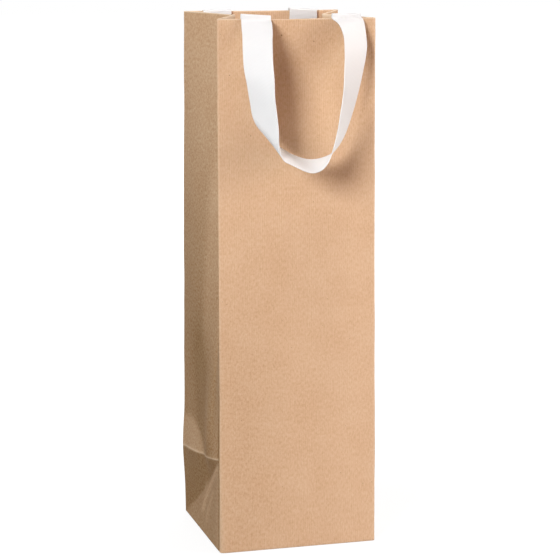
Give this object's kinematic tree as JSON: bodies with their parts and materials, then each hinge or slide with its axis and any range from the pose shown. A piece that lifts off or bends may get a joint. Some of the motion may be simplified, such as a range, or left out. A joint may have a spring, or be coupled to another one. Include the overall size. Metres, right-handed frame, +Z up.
{
  "type": "bottle carrier",
  "caption": "Tall kraft paper bottle bag with folded side gussets, a block bottom, a reinforced turned-in rim and flat woven ribbon handles.",
  "frame": {"origin": "centre of the bag's base, on the surface it stands on", "axes": "+Z up; the front panel faces -Y; +X to the right as the front panel is seen"},
  "size_m": [0.11, 0.1725, 0.3625],
  "materials": {
    "kraft_paper": "matte, fine vertical ribs",
    "grey_card": "matte",
    "white_ribbon": "matte woven cotton tape"
  },
  "bodies": {
    "bag": {"front_panel": "kraft_paper", "back_panel": "kraft_paper", "left_gusset_front_leaf": "kraft_paper", "left_gusset_back_leaf": "kraft_paper", "left_gusset_foot": "kraft_paper", "right_gusset_front_leaf": "kraft_paper", "right_gusset_back_leaf": "kraft_paper", "right_gusset_foot": "kraft_paper", "front_hem": "kraft_paper", "back_hem": "kraft_paper", "left_gusset_front_hem": "kraft_paper", "left_gusset_back_hem": "kraft_paper", "right_gusset_front_hem": "kraft_paper", "right_gusset_back_hem": "kraft_paper", "front_bottom_flap": "kraft_paper", "back_bottom_flap": "kraft_paper", "left_bottom_flap": "kraft_paper", "right_bottom_flap": "kraft_paper", "seam_flap": "kraft_paper", "front_top_card": "grey_card", "back_top_card": "grey_card", "base_board": "grey_card", "front_ribbon_end_left": "white_ribbon", "front_ribbon_end_right": "white_ribbon", "rear_ribbon_end_left": "white_ribbon", "rear_ribbon_end_right": "white_ribbon", "front_handle_patch": "kraft_paper", "rear_handle_patch": "kraft_paper"},
    "front_handle": {"front_handle_loop": "white_ribbon"},
    "rear_handle": {"rear_handle_loop": "white_ribbon"}
  },
  "joints": [
    {"name": "front_handle_swing", "type": "hinge", "parent": "bag", "child": "front_handle", "pos_m": [0.002, -0.04915, 0.3623], "axis": [-1, 0, 0], "range_deg": [0, 183]},
    {"name": "rear_handle_swing", "type": "hinge", "parent": "bag", "child": "rear_handle", "pos_m": [-0.001, 0.04365, 0.3623], "axis": [1, 0, 0], "range_deg": [0, 183]}
  ]
}
